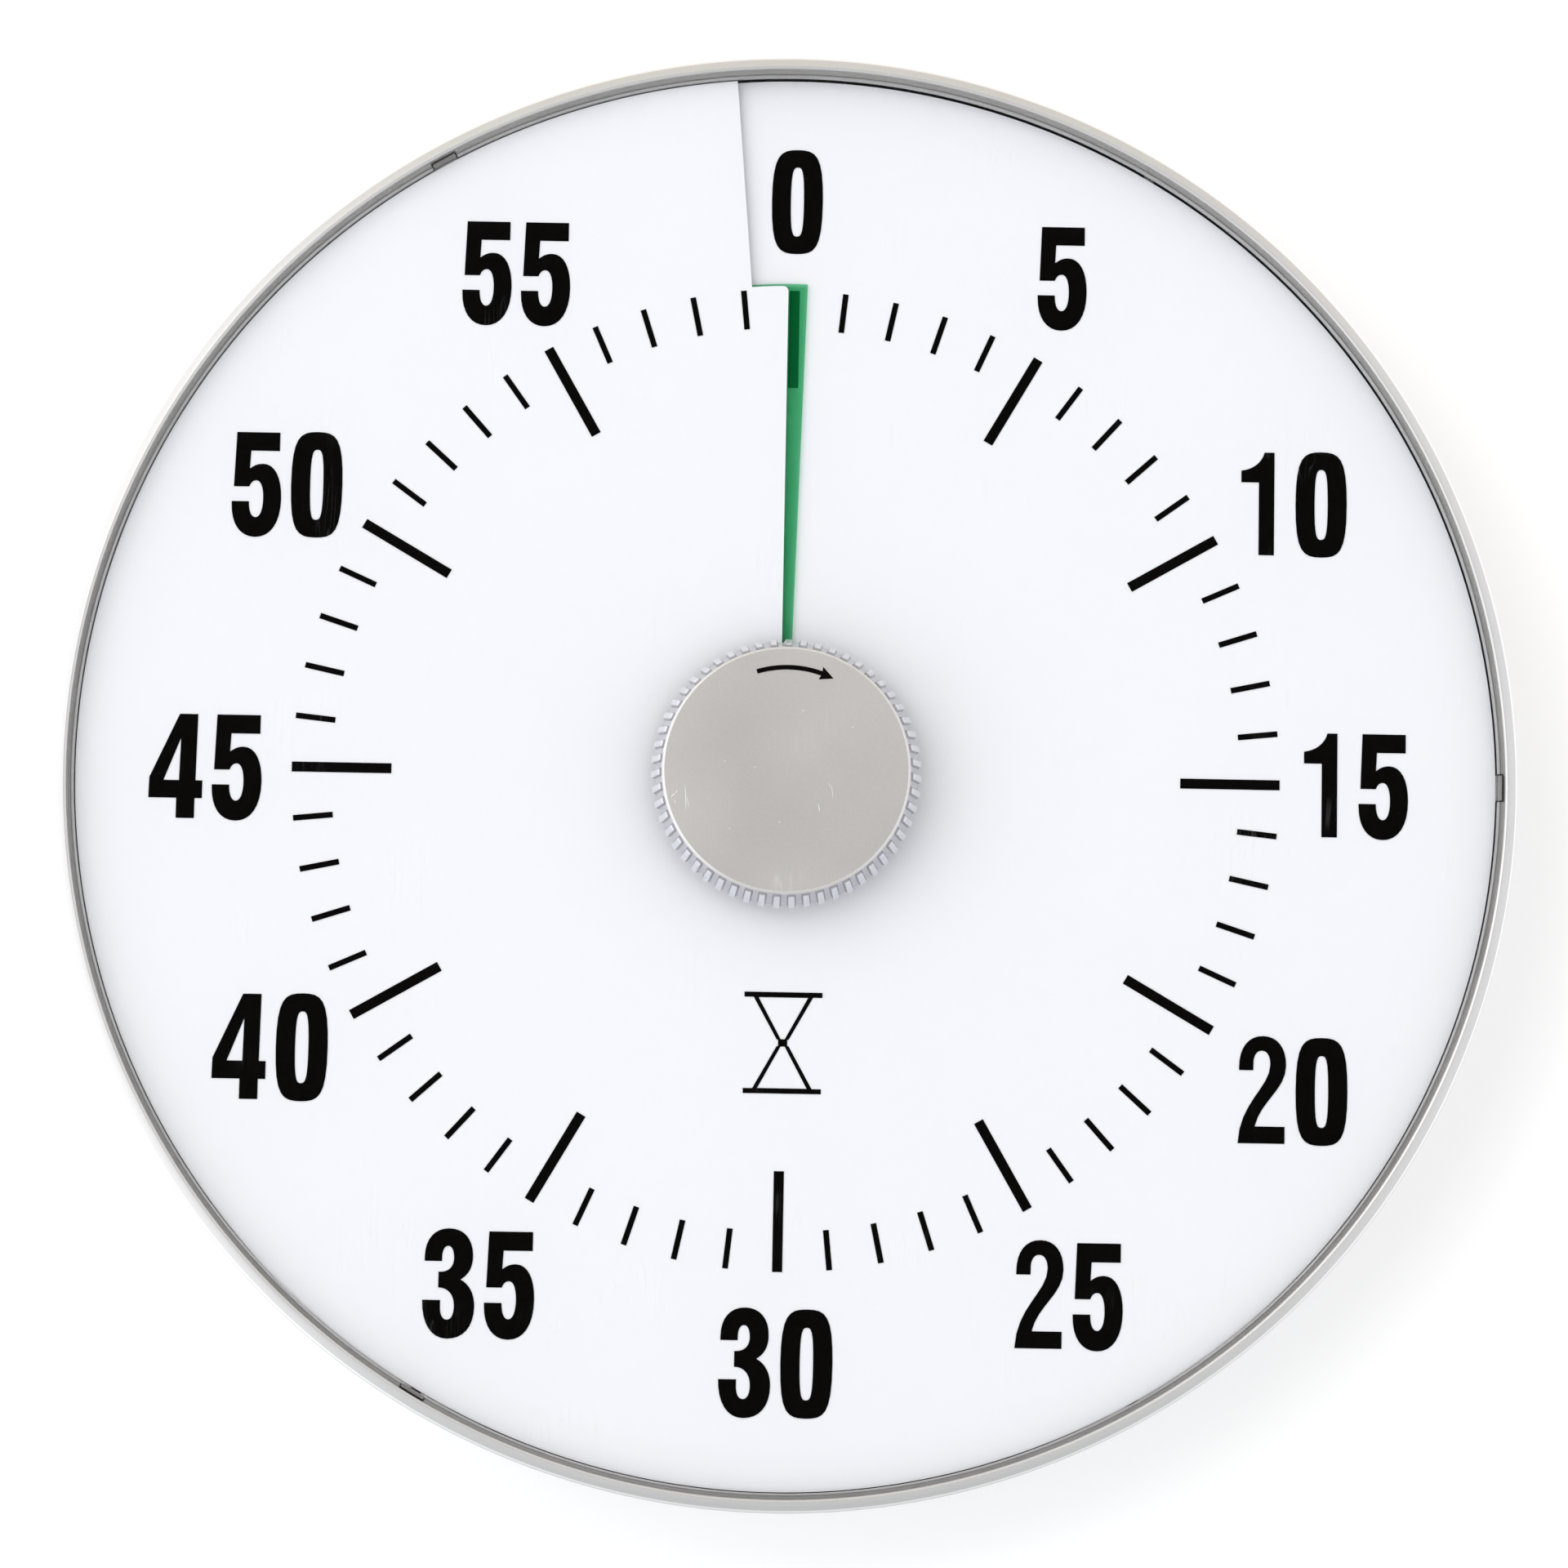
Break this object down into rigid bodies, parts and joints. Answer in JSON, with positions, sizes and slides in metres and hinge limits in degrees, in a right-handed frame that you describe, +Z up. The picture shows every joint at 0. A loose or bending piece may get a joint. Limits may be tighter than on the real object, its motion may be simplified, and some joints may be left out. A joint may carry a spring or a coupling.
{
  "type": "lab timer",
  "caption": "Wall-hung 60 minute visual countdown timer: silver round case, white dial, centre knob that draws a green foil disc out of a slit in the dial.",
  "frame": {"origin": "on the knob's axis, in the flat back plane that lies against the wall", "axes": "+Y out of the back into the wall, so the dial looks along -Y; +Z up to the zero mark; +X to the dial's right, at 15 minutes"},
  "size_m": [0.32, 0.0397, 0.32],
  "materials": {
    "case_silver": "satin silver paint on moulded plastic, fine flake",
    "knob_silver": "satin silver paint on moulded plastic, fine flake",
    "cover_plastic": "fine spark-eroded texture",
    "lens_clear": "clear acrylic, glossy",
    "dial_white": "smooth satin sheet",
    "plate_white": "moulded white plastic",
    "print_black": "screen-printed ink",
    "foil_green": "translucent green film",
    "clamp_grey": "moulded grey plastic",
    "brass": "turned brass",
    "steel": "zinc-plated steel",
    "movement_black": "moulded black plastic",
    "gear_white": "moulded acetal",
    "magnet": "sintered magnet, nickel plated",
    "copper": "enamelled copper wire",
    "board_green": "solder mask on glass-epoxy board",
    "component_black": "epoxy and sleeved can",
    "cell_jacket": "plain jacket over a steel can",
    "lead_red": "PVC insulation",
    "lead_black": "PVC insulation",
    "lead_white": "PVC insulation"
  },
  "bodies": {
    "case": {"front_case": "case_silver", "back_cover": "cover_plastic", "lens": "lens_clear", "dial_sheet": "dial_white", "dial_plate": "plate_white", "scale_ticks": "print_black", "scale_numerals": "print_black", "dial_mark": "print_black", "contact_leaf": "brass", "buzzer_disc": "brass", "movement_screws": "steel", "friction_spring": "steel", "wheel_pins": "steel", "stator": "steel", "crystal": "steel", "battery_spring": "steel", "battery_plate": "steel", "case_screws": "steel", "plate_screws": "steel", "movement_front": "movement_black", "movement_back": "movement_black", "coil_bobbin": "movement_black", "buzzer_ring": "movement_black", "switch_body": "movement_black", "magnets": "magnet", "coil_winding": "copper", "circuit_board": "board_green", "chip_blob": "component_black", "capacitor": "component_black", "battery": "cell_jacket", "battery_leads": "lead_red", "buzzer_leads": "lead_black", "switch_leads": "lead_white"},
    "knob": {"arbor": "brass", "knob_body": "knob_silver", "knob_cap": "knob_silver", "knob_arrow": "print_black", "knob_screw": "steel", "zero_cam": "plate_white"},
    "foil": {"colour_foil": "foil_green", "foil_hub": "plate_white", "foil_ring": "clamp_grey"},
    "friction_gear": {"friction_wheel": "brass"},
    "gear_a": {"wheel_a": "gear_white"},
    "gear_b": {"wheel_b": "gear_white"},
    "gear_c": {"wheel_c": "gear_white"},
    "rotor": {"rotor_pinion": "gear_white", "rotor_magnet": "magnet"},
    "door": {"battery_door": "cover_plastic"},
    "sound_switch": {"switch_slider": "gear_white"}
  },
  "joints": [
    {"name": "knob_turn", "type": "hinge", "parent": "case", "child": "knob", "pos_m": [0, 0, 0], "axis": [0, 1, 0], "range_deg": [0, 360]},
    {"name": "foil_advance", "type": "slide", "parent": "knob", "child": "foil", "axis": [0, -1, 0], "range_m": [0, 0.002]},
    {"name": "wheel_b_spin", "type": "hinge", "parent": "case", "child": "gear_b", "pos_m": [0.00059, 0, -0.01709], "axis": [0, 1, 0], "continuous": true},
    {"name": "friction_wheel_spin", "type": "hinge", "parent": "case", "child": "friction_gear", "pos_m": [0, 0, 0], "axis": [0, 1, 0], "continuous": true},
    {"name": "wheel_a_spin", "type": "hinge", "parent": "case", "child": "gear_a", "pos_m": [-0.01237, 0, -0.01237], "axis": [0, 1, 0], "continuous": true},
    {"name": "wheel_c_spin", "type": "hinge", "parent": "case", "child": "gear_c", "pos_m": [0.01109, 0, -0.01709], "axis": [0, 1, 0], "continuous": true},
    {"name": "rotor_spin", "type": "hinge", "parent": "case", "child": "rotor", "pos_m": [0.01619, 0, -0.00826], "axis": [0, 1, 0], "continuous": true},
    {"name": "battery_door_hinge", "type": "hinge", "parent": "case", "child": "door", "pos_m": [0, -0.0012, -0.0826], "axis": [-1, 0, 0], "range_deg": [0, 95]},
    {"name": "switch_slide", "type": "slide", "parent": "case", "child": "sound_switch", "axis": [1, 0, 0], "range_m": [0, 0.004]}
  ],
  "couplings": [
    {"joint": "foil_advance", "follows": "knob_turn", "m_per_rad": 0.00031831},
    {"joint": "friction_wheel_spin", "follows": "wheel_b_spin", "ratio": 0.025},
    {"joint": "wheel_a_spin", "follows": "wheel_b_spin", "ratio": -0.15},
    {"joint": "wheel_c_spin", "follows": "wheel_b_spin", "ratio": -6},
    {"joint": "rotor_spin", "follows": "wheel_b_spin", "ratio": 45}
  ]
}
